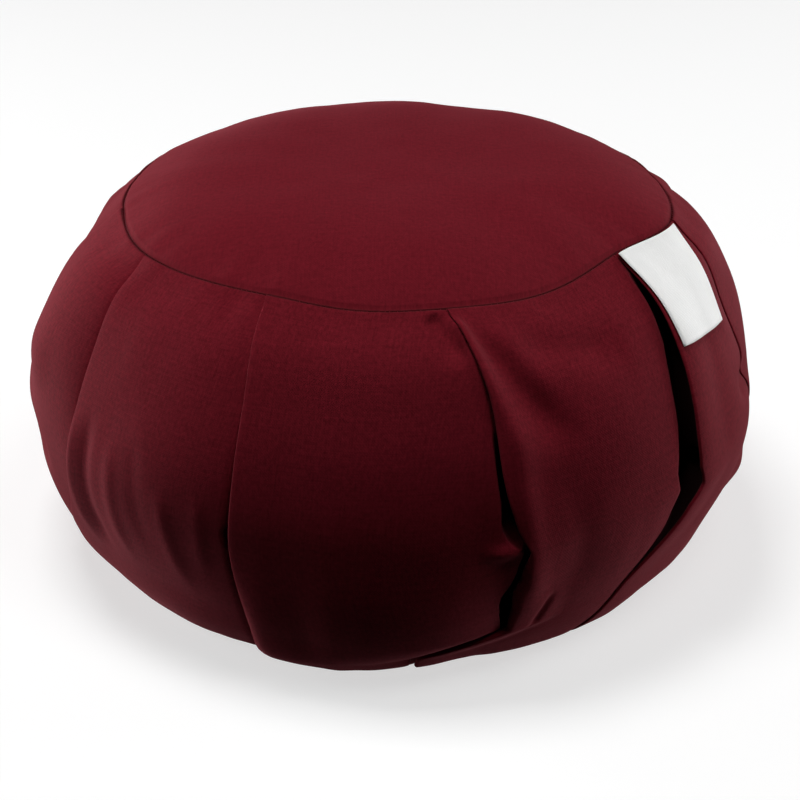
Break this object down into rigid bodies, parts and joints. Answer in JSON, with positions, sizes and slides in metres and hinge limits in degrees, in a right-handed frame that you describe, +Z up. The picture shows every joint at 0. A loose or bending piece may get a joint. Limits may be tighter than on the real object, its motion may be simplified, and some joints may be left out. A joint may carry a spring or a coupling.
{
  "type": "zafu meditation cushion",
  "caption": "Round filled floor cushion for sitting meditation, with a crowned top panel, a tall side band in knife pleats, a flat base and a bare label at the top seam.",
  "frame": {"origin": "under the middle of the cushion, on the surface that it rests on", "axes": "+Z up through the crown, front towards -Y, +X to the right seen from the front"},
  "size_m": [0.3601, 0.364, 0.1939],
  "materials": {
    "cotton": "burgundy plain cotton, matt, with a fine weave",
    "label_cloth": "white woven tape, bare, with a slight sheen"
  },
  "bodies": {
    "root": {"side_band": "cotton", "top_panel": "cotton", "bottom_panel": "cotton", "label": "label_cloth"}
  },
  "joints": []
}
